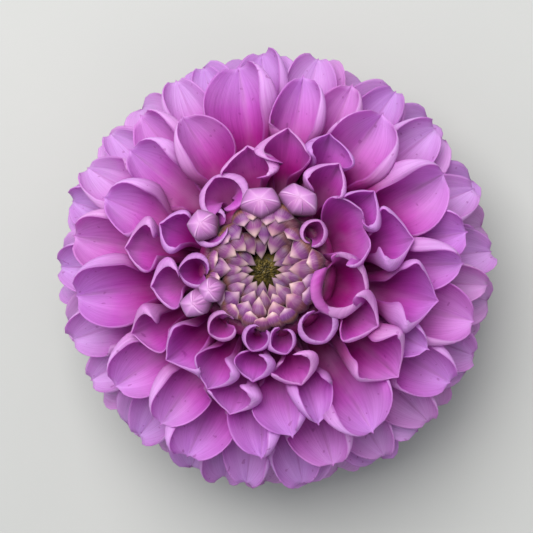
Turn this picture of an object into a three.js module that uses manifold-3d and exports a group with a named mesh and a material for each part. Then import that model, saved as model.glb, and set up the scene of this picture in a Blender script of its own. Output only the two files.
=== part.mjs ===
// A ball dahlia bloom, cut just under its head and lying face up on its lowest petals.
// Lengths are in millimetres and angles in degrees. +Z is up, and the bloom rests on z = 0.

import * as THREE from 'three';
import { mergeVertices } from 'three/addons/utils/BufferGeometryUtils.js';
import Module from 'manifold-3d';

const wasm = await Module();
wasm.setup();

// The ball that the petal tips lie on: its radius, the height of its widest level,
// and how far it reaches above and below that level
const BALL_RADIUS = 54;
const BALL_MIDDLE = 28.5;
const BALL_UP = 37.5;
const BALL_DOWN = 34;

// The fleshy head inside, which the petals stand out of
const HEAD_RADIUS = 42;
const HEAD_UP = 25;
const HEAD_DOWN = 18;
const HEAD_SIDES = 18;
const HEAD_RINGS = 6;

// The raised collar round the well in its middle, which the innermost petals stand on
const COLLAR_RADIUS = 16.8;
const COLLAR_TOP = 57;

// The heart of the head, where the midribs start: its middle's height, its radius and its half height,
// the level that the midribs fan out from, and the angles from straight up of the first and the last root,
// with those of their tips
const HEART_MIDDLE = 34;
const HEART_RADIUS = 12.5;
const HEART_HALF = 15;
const FAN_LEVEL = 28;
const HEART_ANGLES = [26, 120];
const BALL_ANGLES = [10, 150];

// A midrib leaves the heart this much off the straight line to its tip, and holds that for this share of it
const LEAVING_STRAIGHT = 0.4;
const LEAVING_PULL = 0.36;

// Petals: thickness of a blade, how deep its root is sunk in the head, the share of its breadth
// that its narrow root keeps, and the share of its breadth left where its neighbours press on it
const BLADE = 0.8;
const ROOT_DEPTH = 3.5;
const ROOT_BREADTH = 0.5;
const PRESSED = 0.88;

// The clear gap between pieces, and the length under which a facet's edge is closed up
const GAP = 0.3;
const CLEAN = 0.005;

// The well in the middle of the head, which the young florets fill up to the tubes round it
const WELL_RADIUS = 13.2;
const WELL_FLOOR = 48;
const WELL_TOP = 64.3;
const WELL_SIDES = 26;

// The golden angle sets each floret round from the last
const GOLDEN_ANGLE = 137.50776;

// How a petal of each kind is rolled and bent.
// rise is the angle between its tip and the ball's surface, and pull is how far down the petal that is felt.
// rootRoll and mouthRoll are the angles through which it is rolled from midrib to margin, up to openAt and
// at its mouth. widest is where along its length it is broadest, tip is the width left at its tip, and point
// says how it narrows between them. rim is where its margins end. rows gives the facets: for each row of
// points across the petal, its place from root to tip and how many points it has.
const KINDS = {
  tube: {
    rise: 90, pull: 0.42, openAt: 0.7, rootRoll: 140, mouthRoll: 155,
    widest: 0.88, tip: 0.6, point: 1, rim: 0.92,
    rows: [[0, 5], [0.8, 6], [1, 6]],
  },
  cup: {
    rise: 74, pull: 0.42, openAt: 0.42, rootRoll: 130, mouthRoll: 115,
    widest: 0.8, tip: 0.14, point: 0.62, rim: 0.94,
    rows: [[0, 2], [0.5, 4], [0.8, 5], [1, 3]],
  },
  boat: {
    rise: 52, pull: 0.42, openAt: 0.3, rootRoll: 110, mouthRoll: 90,
    widest: 0.74, tip: 0.14, point: 0.66, rim: 0.98,
    rows: [[0, 2], [0.45, 4], [0.78, 4], [1, 2]],
  },
  rim: {
    rise: 42, pull: 0.42, openAt: 0.3, rootRoll: 105, mouthRoll: 85,
    widest: 0.72, tip: 0.14, point: 0.66, rim: 0.98,
    rows: [[0, 2], [0.45, 4], [0.78, 4], [1, 2]],
  },
  back: {
    rise: 24, pull: 0.42, openAt: 0.25, rootRoll: 90, mouthRoll: 62,
    widest: 0.62, tip: 0.14, point: 0.66, rim: 1,
    rows: [[0, 2], [0.55, 4], [1, 2]],
  },
  rest: {
    rise: 10, pull: 0.45, openAt: 0.25, rootRoll: 90, mouthRoll: 50,
    widest: 0.62, tip: 0.3, point: 0.66, rim: 1,
    rows: [[0, 2], [0.5, 4], [0.82, 4], [1, 2]],
  },
};

// The breadth of a petal's claw, deep in the head, as a share of its full breadth, the place along a petal
// where its mouth is fully open, and how sharply its rim falls back towards the margins
const CLAW = 0.2;
const MOUTH = 0.92;
const RIM_CURVE = 1.6;

// The petals seen from above, layer by layer from the middle out.
// Each has the direction of its tip, the tip's distance from the middle, and its width.
const TUBES = [
  [41, 19.5, 6.5], [17, 24.5, 10], [350, 24.5, 11], [311, 22, 9], [286, 21, 8],
  [262, 20.5, 8], [229, 20.5, 8.5], [204, 20.5, 7], [180, 21, 8.5], [146, 21, 9],
  [118, 24.5, 11], [92, 21, 9.5], [63, 21, 9.5],
];
const CUPS = [
  [97, 31.5, 14.5], [81, 35.3, 13], [64, 36.5, 13], [36, 33.5, 12], [12, 37.5, 15],
  [350, 42, 17], [334, 31.5, 12.5], [320, 42, 15], [288, 30, 11.5], [264, 28, 9.5],
  [247, 34, 13], [222, 33.5, 13], [205, 37, 12.5], [188, 29, 12], [170, 35.5, 13.5],
  [154, 29, 11],
];
const BOATS = [
  [139, 45.5, 14.5], [119, 43.5, 14], [99, 51, 18], [78, 48.5, 14], [55, 47.5, 17],
  [29, 49, 18], [11, 49, 17], [334, 44, 12], [303, 47, 18], [279, 41, 14.5],
  [268, 46, 14], [249, 50.5, 17], [234, 46.5, 14.5], [217, 48, 16], [187.5, 48.5, 17.5],
  [170, 50, 16.5], [155, 44.5, 14.5],
];
const RIM = [
  [129, 50.5, 14], [112, 51.5, 13], [89, 53.5, 14], [68, 52.5, 14], [42, 51, 14],
  [20, 53.5, 14], [2, 53.5, 14], [346, 51.5, 16], [328, 52.5, 15], [314, 51.5, 14],
  [291, 51.5, 16], [278, 53.5, 13], [262, 52, 13.5], [233, 52.5, 14], [202, 52.5, 14],
  [179, 53.5, 14], [161, 53, 13], [146, 52.5, 14],
];

// The petals of the underside, bent back towards the stem: the direction of the first, the angles from
// straight up of the first and the last, how much closer the first ones stand, and the widths of the first
// and the last. Those past the rest angle carry the bloom, pressed flat on the ground.
const BACK_COUNT = 60;
const BACK_TURN = 37;
const BACK_FROM = 86;
const BACK_TO = 161;
const BACK_REST = 147;
const BACK_CROWDING = 1.3;
const BACK_WIDTHS = [17, 12];

// The young florets: closed scales folded in over a low mound, whose tips spread out from the eye
const SCALE_COUNT = 50;
const SCALE_INNERMOST = 3.8;
const SCALE_OUTERMOST = 9.1;
const SCALE_LENGTHS = [2.4, 3.5];
const SCALE_WIDTHS = [2.2, 4];
const SCALE_HEIGHTS = [60.2, 63.6];
const SCALE_FOOT = 4.2;
const SCALE_PITCH = 0.5;
const SCALE_DEPTH = 1.5;
const MOUND_RADIUS = 12;
const MOUND_TOP = 58.6;
const MOUND_SIDES = 18;

// The green eye in the middle of the young florets: a knob set with small closed buds
const EYE_RADIUS = 3;
const EYE_FOOT = 55;
const EYE_TOP = 59.4;
const EYE_SIDES = 14;
const EYE_BUDS = 14;
const BUD_RADIUS = 0.75;
const BUD_LENGTH = 2.2;
const BUD_SIDES = 5;
const BUD_SPREAD = 2;
const BUD_LEAN = 0.5;

// The green bracts under the head, and the cut stem
const CALYX_RADIUS = 9;
const CALYX_TOP = 11;
const BRACT_COUNT = 8;
const BRACT_REACH = 17;
const BRACT_WIDTH = 8;
const BRACT_LEVEL = 9;
const STEM_RADIUS = 3.2;
const STEM_TOP = 7;
const STEM_END = 1.5;
const STEM_SIDES = 16;

const radians = THREE.MathUtils.degToRad;
const smooth = (x) => THREE.MathUtils.smoothstep(x, 0, 1);

// A closed geometry as a solid, facing out
function solid(geometry) {
  const bare = geometry.index ? geometry.toNonIndexed() : geometry.clone();
  for (const name of Object.keys(bare.attributes)) {
    if (name !== 'position') bare.deleteAttribute(name);
  }
  const merged = mergeVertices(bare, 1e-4);
  const triVerts = new Uint32Array(merged.index.array);
  const vertProperties = merged.attributes.position.array;
  const made = new wasm.Manifold(new wasm.Mesh({ numProp: 3, vertProperties, triVerts }));
  if (made.volume() > 0) return made;
  for (let i = 0; i < triVerts.length; i += 3) {
    [triVerts[i + 1], triVerts[i + 2]] = [triVerts[i + 2], triVerts[i + 1]];
  }
  return new wasm.Manifold(new wasm.Mesh({ numProp: 3, vertProperties, triVerts }));
}

// A solid turned on the lathe from a profile of [radius, height] pairs that starts and ends on the axis
function turned(profile, sides) {
  const points = profile.map(([radius, height]) => new THREE.Vector2(radius, height));
  const geometry = new THREE.LatheGeometry(points, sides);
  geometry.rotateX(Math.PI / 2);
  return solid(geometry);
}

// The largest body of a solid, without its loose scraps
function largest(shape) {
  const bodies = shape.decompose();
  return bodies.reduce((best, body) => (body.volume() > best.volume() ? body : best));
}

// A point on the ball at an angle from straight up, with the ball's slope there
function ballPoint(angle) {
  const height = angle < 90 ? BALL_UP : BALL_DOWN;
  const sine = Math.sin(radians(angle));
  const cosine = Math.cos(radians(angle));
  const point = new THREE.Vector2(BALL_RADIUS * sine, BALL_MIDDLE + height * cosine);
  const slope = new THREE.Vector2(BALL_RADIUS * cosine, -height * sine).normalize();
  return { point, slope, outward: new THREE.Vector2(-slope.y, slope.x) };
}

// The line of a petal's midrib from deep in the head to its tip, as a curve in [radius, height]
function midrib(kind, tipAngle) {
  const { point: tip, slope, outward } = ballPoint(tipAngle);
  const rootAngle = radians(THREE.MathUtils.mapLinear(tipAngle, ...BALL_ANGLES, ...HEART_ANGLES));
  const root = new THREE.Vector2(
    HEART_RADIUS * Math.sin(rootAngle),
    HEART_MIDDLE + HEART_HALF * Math.cos(rootAngle),
  );
  const length = root.distanceTo(tip);
  const straight = tip.clone().sub(root).normalize();
  const fanned = new THREE.Vector2(root.x, root.y - FAN_LEVEL).normalize();
  const leaving = fanned.lerp(straight, LEAVING_STRAIGHT);
  const rise = radians(kind.rise);
  const arriving = slope.multiplyScalar(Math.cos(rise)).addScaledVector(outward, Math.sin(rise));
  return new THREE.CubicBezierCurve(
    root,
    root.clone().addScaledVector(leaving, LEAVING_PULL * length),
    tip.clone().addScaledVector(arriving, -kind.pull * length),
    tip,
  );
}

// Where along a midrib the petal leaves the head, less the depth of its root
function rootStart(rib) {
  const radius = HEAD_RADIUS - ROOT_DEPTH;
  let start = 0;
  for (let v = 0; v < 1; v += 0.01) {
    const at = rib.getPoint(v);
    const height = (at.y < BALL_MIDDLE ? HEAD_DOWN : HEAD_UP) - ROOT_DEPTH;
    if (Math.hypot(at.x / radius, (at.y - BALL_MIDDLE) / height) < 1) start = v;
  }
  return start;
}

// A point of a petal's middle surface. across runs from -1 to 1, and along from the root to the tip.
function petalPoint(kind, rib, azimuth, width, across, along) {
  const reach = along * (1 - (1 - kind.rim) * Math.abs(across) ** RIM_CURVE);
  const at = rib.getPoint(reach);
  const direction = rib.getTangent(reach);
  const past = THREE.MathUtils.clamp((reach - kind.widest) / (1 - kind.widest), 0, 1);
  const narrowing = kind.tip + (1 - kind.tip) * (1 - past * past) ** kind.point;
  const widening = CLAW + (1 - CLAW) * (reach / kind.widest) ** 2;
  const half = ((PRESSED * width) / 2) * (past > 0 ? narrowing : widening);
  const opened = smooth((reach - kind.openAt) / (MOUTH - kind.openAt));
  const roll = radians(THREE.MathUtils.lerp(kind.rootRoll, kind.mouthRoll, opened));
  const bend = half / Math.sin(Math.min(roll, Math.PI / 2));
  const aside = bend * Math.sin(roll * across);
  const lift = bend * (1 - Math.cos(roll * across));
  // The petal's face looks in towards the axis and up: in [radius, height] that is the direction turned left
  const radius = at.x - direction.y * lift;
  const height = at.y + direction.x * lift;
  const turn = radians(azimuth);
  return new THREE.Vector3(
    radius * Math.cos(turn) - aside * Math.sin(turn),
    radius * Math.sin(turn) + aside * Math.cos(turn),
    height,
  );
}

// The two faces of a blade at one point of its middle surface.
// What would hang below the ground lies flat on it.
function bladeFaces(surface, u, v, thickness) {
  const step = 1e-3;
  const middle = surface(u, v);
  const across = surface(Math.min(u + step, 1), v).sub(surface(Math.max(u - step, -1), v));
  const along = surface(u, Math.min(v + step, 1)).sub(surface(u, v - step));
  const normal = across.cross(along).normalize();
  const pair = [-0.5, 0.5].map((side) => middle.clone().addScaledVector(normal, side * thickness));
  if (Math.min(pair[0].z, pair[1].z) < 0) {
    const lowest = pair[0].z < pair[1].z ? 0 : 1;
    pair[lowest].z = 0;
    pair[1 - lowest].z = thickness;
  }
  return pair;
}

// A blade of even thickness round a surface, with the same triangles on both faces.
// rows lists each row of points from root to tip, as the places across and the place along the surface.
function blade(surface, rows, thickness) {
  const faces = [[], []];
  const starts = [];
  for (const { along, places } of rows) {
    starts.push(faces[0].length);
    for (const u of places) {
      const pair = bladeFaces(surface, u, along, thickness);
      faces[0].push(pair[0]);
      faces[1].push(pair[1]);
    }
  }
  const shift = faces[0].length;
  const triangles = [];
  const both = (a, b, c) => triangles.push(a, b, c, shift + a, shift + c, shift + b);
  const wall = (a, b) => triangles.push(a, shift + a, b, b, shift + a, shift + b);
  for (let j = 0; j + 1 < rows.length; j += 1) {
    const [here, next] = [rows[j].places, rows[j + 1].places];
    let [a, b] = [0, 0];
    while (a + 1 < here.length || b + 1 < next.length) {
      const hereShare = a + 1 < here.length ? (a + 1) / (here.length - 1) : 2;
      const nextShare = b + 1 < next.length ? (b + 1) / (next.length - 1) : 2;
      const [p, q] = [starts[j] + a, starts[j + 1] + b];
      if (nextShare < hereShare) {
        both(p, q, q + 1);
        b += 1;
      } else {
        both(p, q, p + 1);
        a += 1;
      }
    }
    wall(starts[j], starts[j + 1]);
    wall(starts[j + 1] + next.length - 1, starts[j] + here.length - 1);
  }
  const last = rows.length - 1;
  for (let i = 0; i + 1 < rows[0].places.length; i += 1) wall(i + 1, i);
  for (let i = 0; i + 1 < rows[last].places.length; i += 1) wall(starts[last] + i, starts[last] + i + 1);
  const geometry = new THREE.BufferGeometry().setFromPoints([...faces[0], ...faces[1]]);
  geometry.setIndex(triangles);
  return solid(geometry);
}

// Places spread evenly across a petal, from one margin to the other
function spread(count, breadth) {
  return Array.from({ length: count }, (_, i) => breadth * (-1 + (2 * i) / (count - 1)));
}

// One petal, of a kind, with its tip in a direction and at an angle from straight up
function petal(kindName, azimuth, tipAngle, width) {
  const kind = KINDS[kindName];
  const rib = midrib(kind, tipAngle);
  const start = rootStart(rib);
  const rows = kind.rows.map(([share, count]) => ({
    along: THREE.MathUtils.lerp(start, 1, share),
    places: spread(count, share === 0 && count === 2 ? ROOT_BREADTH : 1),
  }));
  return blade((u, v) => petalPoint(kind, rib, azimuth, width, u, v), rows, BLADE);
}

// The angle from straight up of a tip seen from above at a distance from the middle
const angleOf = (tipRadius) => (Math.asin(Math.min(tipRadius / BALL_RADIUS, 1)) * 180) / Math.PI;

function seenPetals(kindName, list) {
  return list.map(([azimuth, tipRadius, width]) => petal(kindName, azimuth, angleOf(tipRadius), width));
}

function backPetals() {
  return Array.from({ length: BACK_COUNT }, (_, i) => {
    const share = (i + 0.5) / BACK_COUNT;
    const tipAngle = THREE.MathUtils.lerp(BACK_FROM, BACK_TO, share ** BACK_CROWDING);
    const kindName = tipAngle < BACK_REST ? 'back' : 'rest';
    const width = THREE.MathUtils.lerp(...BACK_WIDTHS, share);
    return petal(kindName, BACK_TURN + i * GOLDEN_ANGLE, tipAngle, width);
  });
}

// The fleshy head: two half balls of different heights on one edge
function head() {
  const profile = [];
  for (let i = 0; i <= HEAD_RINGS; i += 1) {
    const angle = (Math.PI * i) / HEAD_RINGS;
    const height = Math.cos(angle) > 0 ? HEAD_UP : HEAD_DOWN;
    const radius = i % HEAD_RINGS ? HEAD_RADIUS * Math.sin(angle) : 0;
    profile.push([radius, BALL_MIDDLE + height * Math.cos(angle)]);
  }
  return turned(profile, HEAD_SIDES);
}

// The collar round the well
function collar() {
  const side = [[COLLAR_RADIUS, BALL_MIDDLE], [COLLAR_RADIUS, COLLAR_TOP - 2], [COLLAR_RADIUS - 2, COLLAR_TOP]];
  return turned([[0, BALL_MIDDLE], ...side, [0, COLLAR_TOP]], HEAD_SIDES);
}

// The well in the head for the young florets
function well() {
  const profile = [[0, WELL_FLOOR], [WELL_RADIUS, WELL_FLOOR], [WELL_RADIUS, WELL_TOP], [0, WELL_TOP]];
  return turned(profile, WELL_SIDES);
}

// The seat under the head for the green calyx
function calyxSeat() {
  const top = CALYX_TOP + GAP;
  const profile = [[0, 0], [BRACT_REACH, 0], [BRACT_REACH, CALYX_TOP], [CALYX_RADIUS, top], [0, top]];
  return turned(profile, HEAD_SIDES);
}

// All the lilac petals on their head, with room for the pieces in its middle and under it
function rayFlorets() {
  const petals = [
    ...seenPetals('tube', TUBES),
    ...seenPetals('cup', CUPS),
    ...seenPetals('boat', BOATS),
    ...seenPetals('rim', RIM),
    ...backPetals(),
  ];
  const bloom = wasm.Manifold.union([head(), collar(), ...petals]);
  return largest(bloom.subtract(well()).subtract(calyxSeat()).simplify(CLEAN));
}

// A closed scale: a roof with a ridge, from its foot in the mound over a shoulder to a tip nearer the middle.
// Each of its four cross-sections is a ridge point, two eaves and a keel below.
function scale(azimuth, tipRadius, length, width, top) {
  const shoulder = tipRadius + length;
  const sections = [
    { radius: shoulder - 0.6, ridge: top - SCALE_FOOT, half: 0.3 * width },
    { radius: shoulder, ridge: top - 1, half: 0.46 * width },
    { radius: shoulder - 0.45 * length, ridge: top, half: 0.5 * width },
    { radius: tipRadius, ridge: top - 0.5, half: 0.12 * width },
  ];
  const turn = radians(azimuth);
  const points = [];
  for (const { radius, ridge, half } of sections) {
    const eaves = ridge - SCALE_PITCH * half;
    for (const [aside, height] of [[0, ridge], [half, eaves], [0, eaves - SCALE_DEPTH], [-half, eaves]]) {
      const x = radius * Math.cos(turn) - aside * Math.sin(turn);
      const y = radius * Math.sin(turn) + aside * Math.cos(turn);
      points.push(new THREE.Vector3(x, y, height));
    }
  }
  const triangles = [0, 3, 2, 0, 2, 1];
  for (let start = 0; start + 4 < points.length; start += 4) {
    for (let i = 0; i < 4; i += 1) {
      const [a, b] = [start + i, start + ((i + 1) % 4)];
      triangles.push(a, b, b + 4, a, b + 4, a + 4);
    }
  }
  const tip = points.length - 4;
  triangles.push(tip, tip + 1, tip + 2, tip, tip + 2, tip + 3);
  const geometry = new THREE.BufferGeometry().setFromPoints(points);
  geometry.setIndex(triangles);
  return solid(geometry);
}

// The young florets on their mound, with a hole for the eye
function youngFlorets() {
  const foot = WELL_FLOOR + GAP;
  const hole = EYE_RADIUS + GAP;
  const outside = [[0, foot], [MOUND_RADIUS, foot], [MOUND_RADIUS, MOUND_TOP]];
  const mound = turned([...outside, [hole, MOUND_TOP], [hole, EYE_FOOT], [0, EYE_FOOT]], MOUND_SIDES);
  const scales = Array.from({ length: SCALE_COUNT }, (_, i) => {
    const share = i / (SCALE_COUNT - 1);
    const [length, width, top] = [SCALE_LENGTHS, SCALE_WIDTHS, SCALE_HEIGHTS].map(
      ([first, last]) => THREE.MathUtils.lerp(first, last, share),
    );
    const tipRadius = Math.sqrt(THREE.MathUtils.lerp(SCALE_INNERMOST ** 2, SCALE_OUTERMOST ** 2, share));
    return scale(i * GOLDEN_ANGLE, tipRadius, length, width, top);
  });
  return largest(wasm.Manifold.union([mound, ...scales]).simplify(CLEAN));
}

// The green eye: a knob with closed buds leaning in over it
function greenEye() {
  const foot = EYE_FOOT + GAP;
  const side = [[EYE_RADIUS, foot], [EYE_RADIUS, EYE_TOP - 1.6], [0.6 * EYE_RADIUS, EYE_TOP - 0.4]];
  const knob = turned([[0, foot], ...side, [0, EYE_TOP]], EYE_SIDES);
  const buds = Array.from({ length: EYE_BUDS }, (_, i) => {
    const out = Math.sqrt((i + 0.5) / EYE_BUDS);
    const bud = new THREE.ConeGeometry(BUD_RADIUS, BUD_LENGTH, BUD_SIDES);
    bud.rotateX(Math.PI / 2);
    bud.rotateY(-BUD_LEAN * out);
    bud.translate(BUD_SPREAD * out, 0, EYE_TOP - 0.9 * out * out);
    bud.rotateZ(radians(i * GOLDEN_ANGLE));
    return solid(bud);
  });
  return wasm.Manifold.union([knob, ...buds]);
}

// A green bract: a flat leaf from under the calyx to its point
function bract(azimuth) {
  const side = [[0.3, 0.26], [0.5, 0.5], [0.8, 0.38]];
  const outline = new THREE.Shape();
  outline.moveTo(BRACT_REACH, 0);
  for (const [out, half] of [...side].reverse()) outline.lineTo(out * BRACT_REACH, half * BRACT_WIDTH);
  for (const [out, half] of side) outline.lineTo(out * BRACT_REACH, -half * BRACT_WIDTH);
  const leaf = new THREE.ExtrudeGeometry(outline, { depth: BLADE, bevelEnabled: false });
  leaf.translate(0, 0, BRACT_LEVEL);
  leaf.rotateZ(radians(azimuth));
  return solid(leaf);
}

// The green cup of bracts under the head, with the cut stem below it
function greenCalyx() {
  const stem = [[0, STEM_END], [STEM_RADIUS, STEM_END], [STEM_RADIUS, STEM_TOP]];
  const flare = [[CALYX_RADIUS, BRACT_LEVEL], [CALYX_RADIUS, CALYX_TOP], [0, CALYX_TOP]];
  const cup = turned([...stem, ...flare], STEM_SIDES);
  const bracts = Array.from({ length: BRACT_COUNT }, (_, i) => bract((360 * i) / BRACT_COUNT));
  return wasm.Manifold.union([cup, ...bracts]);
}

// A solid as a named mesh with a material of its own
function meshOf(name, shape, color, roughness) {
  const data = shape.getMesh();
  const geometry = new THREE.BufferGeometry();
  geometry.setAttribute('position', new THREE.BufferAttribute(data.vertProperties, 3));
  geometry.setIndex(new THREE.BufferAttribute(data.triVerts, 1));
  geometry.computeVertexNormals();
  const mesh = new THREE.Mesh(geometry, new THREE.MeshStandardMaterial({ color, roughness, metalness: 0 }));
  mesh.name = name;
  return mesh;
}

const bloom = new THREE.Group();
bloom.add(
  meshOf('ray_florets', rayFlorets(), 0xc878d2, 0.55),
  meshOf('young_florets', youngFlorets(), 0xe6d2d8, 0.6),
  meshOf('green_eye', greenEye(), 0x4c5518, 0.6),
  meshOf('green_calyx', greenCalyx(), 0x5f7a3a, 0.6),
);

// The bloom's box is centred over the origin
const box = new THREE.Box3().setFromObject(bloom);
const middle = box.getCenter(new THREE.Vector3());
bloom.position.set(-middle.x, -middle.y, 0);

export default bloom;
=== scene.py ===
import math
import random

import bpy
import numpy as np
from mathutils import Matrix, Vector
from mathutils.bvhtree import BVHTree


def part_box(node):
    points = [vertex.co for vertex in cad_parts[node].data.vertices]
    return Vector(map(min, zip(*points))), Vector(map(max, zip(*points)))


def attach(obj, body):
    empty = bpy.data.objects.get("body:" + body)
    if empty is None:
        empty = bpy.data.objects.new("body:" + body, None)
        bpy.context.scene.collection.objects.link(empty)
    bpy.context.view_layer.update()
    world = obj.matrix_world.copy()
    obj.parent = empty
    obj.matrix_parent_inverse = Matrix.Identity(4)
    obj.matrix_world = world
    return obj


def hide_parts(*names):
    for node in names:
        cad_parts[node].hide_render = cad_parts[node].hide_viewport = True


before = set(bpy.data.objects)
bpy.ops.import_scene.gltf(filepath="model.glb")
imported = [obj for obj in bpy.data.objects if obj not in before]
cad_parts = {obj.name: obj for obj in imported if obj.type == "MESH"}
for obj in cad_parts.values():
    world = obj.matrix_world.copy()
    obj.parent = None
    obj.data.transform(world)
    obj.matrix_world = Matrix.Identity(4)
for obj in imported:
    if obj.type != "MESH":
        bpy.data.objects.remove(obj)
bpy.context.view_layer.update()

# Lengths are in millimetres until a mesh is made or the camera is placed. Those of the materials, the
# floor and the light are in metres.
MM = 0.001
GOLDEN_ANGLE = 137.50776

# The bloom's own axis stands where the middle of the green calyx is
LOW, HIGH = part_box("green_calyx")
AXIS = np.array([(LOW.x + HIGH.x) / 2, (LOW.y + HIGH.y) / 2]) / MM

# The ball that the petal tips lie on: its radius, the height of its middle, and its reach up and down
BALL_RADIUS, BALL_MIDDLE, BALL_UP, BALL_DOWN = 54, 28.5, 37.5, 34

# The heart that the petals grow from, and the level that they fan out from
HEART_MIDDLE, HEART_RADIUS, HEART_HALF, FAN_LEVEL = 34, 12.5, 15, 28

# Tips between the first two angles from straight up have their roots between the second two
BALL_ANGLES = (10, 150)
HEART_ANGLES = (26, 120)

# How much a petal leaves the heart straight towards its tip, and how far along it keeps that way
LEAVING_STRAIGHT, LEAVING_PULL = 0.4, 0.36

# How a petal of each kind is rolled and bent, angles in degrees.
# rise: the angle between its tip and the ball. pull: how far down the petal that is felt.
# root, mouth and end: how far each half is rolled in the tube, in the middle of the mouth and at the tip.
# widest, tip, point: its outline. rim: where its margins end. notch: how deep its tip is cut in.
# curl: the share of the roll that is close to the margins. keel: the slope of the fold along its midrib.
# press and room: how deep it may be between the layers, and at its mouth.
# hook: how far its tip bends in over the mouth. lower: how far its tip is moved down the ball.
# age: from 0 in the middle of the bloom to 1 at its outside. seed: its first seed for random numbers.
KINDS = {
    "tube": {
        "rise": 96, "pull": 0.4, "root": 172, "mouth": 182, "end": 170,
        "widest": 0.88, "tip": 0.4, "point": 0.8, "rim": 0.92, "notch": 0, "curl": 0.15, "keel": 12,
        "press": 4, "room": 30, "hook": 1.0, "lower": 0, "age": 0.2, "seed": 0,
    },
    "trumpet": {
        "rise": 90, "pull": 0.42, "root": 172, "mouth": 178, "end": 160,
        "widest": 0.88, "tip": 0.4, "point": 0.7, "rim": 0.93, "notch": 0, "curl": 0.12, "keel": 8,
        "press": 4, "room": 30, "hook": 2.2, "lower": 0, "age": 0.3, "seed": 50,
    },
    "heart": {
        "rise": 84, "pull": 0.42, "root": 172, "mouth": 150, "end": 96,
        "widest": 0.88, "tip": 0.75, "point": 0.7, "rim": 0.95, "notch": 0.15, "curl": 0.25, "keel": 0,
        "press": 4, "room": 30, "hook": 1.2, "lower": 0, "age": 0.3, "seed": 40,
    },
    "cup": {
        "rise": 76, "pull": 0.42, "root": 172, "mouth": 150, "end": 100,
        "widest": 0.84, "tip": 0.14, "point": 0.58, "rim": 0.94, "notch": 0, "curl": 0.2, "keel": 34,
        "press": 4, "room": 14, "hook": 2.4, "lower": 0, "age": 0.5, "seed": 100,
    },
    "boat": {
        "rise": 51, "pull": 0.42, "root": 165, "mouth": 132, "end": 92,
        "widest": 0.7, "tip": 0.03, "point": 0.76, "rim": 0.96, "notch": 0, "curl": 0.25, "keel": 44,
        "press": 2.6, "room": 11, "hook": 2.2, "lower": 0, "age": 0.7, "seed": 200,
    },
    "rim": {
        "rise": 42, "pull": 0.42, "root": 160, "mouth": 120, "end": 84,
        "widest": 0.68, "tip": 0.03, "point": 0.76, "rim": 0.97, "notch": 0, "curl": 0.25, "keel": 42,
        "press": 1.8, "room": 8.5, "hook": 1.8, "lower": 6, "age": 0.9, "seed": 300,
    },
    "back": {
        "rise": 26, "pull": 0.42, "root": 150, "mouth": 96, "end": 66,
        "widest": 0.68, "tip": 0.03, "point": 0.76, "rim": 1.0, "notch": 0, "curl": 0.25, "keel": 30,
        "press": 1.6, "room": 6, "hook": 1.0, "lower": 0, "age": 1.0, "seed": 500,
    },
}

# The petals seen from above, from the middle out: direction of the tip, distance of the tip from the
# middle, distance of the inner end of the mouth, width, how far the root is turned from the tip, and how
# far the petal is rolled about its own midrib
TUBES = [
    (41, 18.0, 11.8, 6.2, 0, 20), (286, 20.6, 14.0, 6.8, 0, 10), (262, 19.4, 13.6, 6.6, 0, -10),
    (229, 19.8, 13.8, 7.2, 0, -20), (180, 20.5, 13.2, 8.0, 0, 0),
]
TRUMPETS = [
    (349, 26.0, 9.8, 15.0, 0, 0), (311, 23.5, 13.5, 9.5, 0, -15), (146, 21.0, 13.5, 9.5, 0, 20),
    (118, 26.5, 17.0, 12.0, 0, 0),
]
HEARTS = [(23, 27.5, 11.5, 17.0, 0, -8)]
CUPS = [
    (98, 31.5, 20, 13.5, 0, 0), (81, 36.0, 21, 13.0, 0, 0), (65, 37.5, 27, 12.5, 4, 20),
    (55, 32.5, 18, 10.5, 3, 0), (36, 33.5, 21, 11.0, 4, 20), (12, 37.5, 25, 15.0, 0, -10),
    (350, 43.0, 27, 17.0, 0, 0), (334, 31.5, 20, 13.0, 0, 0), (321, 42.0, 22, 15.5, 0, -10),
    (288, 30.0, 20, 11.5, 4, 0), (264, 28.0, 18.5, 9.5, -4, 0), (244, 33.0, 19, 11.0, 0, 0),
    (256, 37.0, 26, 13.0, 0, 0), (222, 33.5, 19, 13.0, 0, -15), (205, 37.5, 26, 12.0, 0, -10),
    (188, 29.0, 19, 12.0, 4, 0), (171, 36.0, 25, 13.0, 3, 15), (156, 29.0, 19, 10.5, 0, 0),
]
BOATS = [
    (139, 45.5, 24, 14.5, 3, 10), (119, 43.5, 25, 14.0, 3, 10), (99, 51.0, 30, 18.0, 0, 0),
    (80, 48.5, 33, 13.0, 0, 10), (66, 50.0, 36, 12.5, 0, 0), (54, 47.5, 28, 17.0, 0, 10),
    (29, 49.0, 28, 18.0, 0, 10), (11, 49.0, 36, 17.0, 0, 0), (303, 47.0, 25, 18.0, 0, -10),
    (289, 39.5, 28, 10.5, 0, -15), (279, 41.0, 25, 14.5, 3, 10), (268, 46.0, 30, 14.0, 4, 10),
    (246, 50.5, 36, 17.5, 0, 0), (235, 46.5, 31, 14.0, 0, 0), (217, 48.0, 34, 16.0, 0, 0),
    (187.5, 48.5, 30, 17.5, 0, 0), (170, 50.0, 33, 16.5, 0, 0), (156, 44.5, 32, 14.5, 2, 10),
    (334, 43.5, 35, 11.0, 0, 0), (346, 51.5, 38, 16.0, 0, 0), (328, 52.0, 39, 15.0, 0, 0),
    (288, 50.5, 38, 16.5, 0, 0), (130, 50.5, 39, 14.0, 0, 0), (2, 47.5, 33, 13.0, 0, 0),
]
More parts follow.
